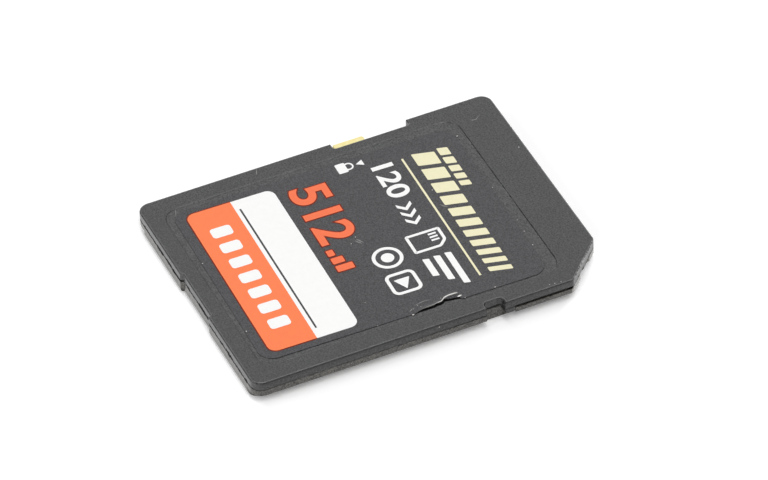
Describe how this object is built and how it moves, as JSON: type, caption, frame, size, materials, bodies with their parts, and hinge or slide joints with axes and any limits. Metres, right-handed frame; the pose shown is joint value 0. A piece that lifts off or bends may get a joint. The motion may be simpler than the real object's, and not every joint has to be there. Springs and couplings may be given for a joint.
{
  "type": "sd memory card",
  "caption": "Thin flat memory card with one cut corner, guide rails, a slotted contact end and a sliding write-protect tab, worn at one edge of its label.",
  "frame": {"origin": "centre of the card's plan, on its flat rear face", "axes": "+Z out of the label face, +Y towards the contact end, the way the card is pushed in, +X towards the side with the cut corner"},
  "size_m": [0.024, 0.032, 0.0021],
  "materials": {
    "cover_plastic": "moulded, finely textured, dark grey",
    "label_film": "printed film, satin, dark with an orange and a white field",
    "slider_plastic": "moulded, satin, yellow",
    "board_laminate": "glass-fibre laminate under green solder mask",
    "contact_gold": "gold plate over nickel and copper",
    "chip_resin": "moulded epoxy, matte black",
    "capacitor_ceramic": "fired ceramic with tinned ends",
    "resistor_ceramic": "glazed black on white ceramic with tinned ends"
  },
  "bodies": {
    "card": {"front_cover": "cover_plastic", "rear_cover": "cover_plastic", "front_label": "label_film", "circuit_board": "board_laminate", "flash_memory_chip": "chip_resin", "controller_chip": "chip_resin", "contact_pad_1": "contact_gold", "contact_pad_2": "contact_gold", "contact_pad_3": "contact_gold", "contact_pad_4": "contact_gold", "contact_pad_5": "contact_gold", "contact_pad_6": "contact_gold", "contact_pad_7": "contact_gold", "contact_pad_8": "contact_gold", "contact_pad_9": "contact_gold", "capacitor_1": "capacitor_ceramic", "capacitor_2": "capacitor_ceramic", "capacitor_3": "capacitor_ceramic", "capacitor_4": "capacitor_ceramic", "capacitor_5": "capacitor_ceramic", "capacitor_6": "capacitor_ceramic", "resistor_1": "resistor_ceramic", "resistor_2": "resistor_ceramic", "resistor_3": "resistor_ceramic", "resistor_4": "resistor_ceramic", "resistor_5": "resistor_ceramic", "resistor_6": "resistor_ceramic"},
    "slider": {"write_protect_slider": "slider_plastic"}
  },
  "joints": [
    {"name": "write_protect_slide", "type": "slide", "parent": "card", "child": "slider", "axis": [0, 1, 0], "range_m": [0, 0.0039]}
  ]
}
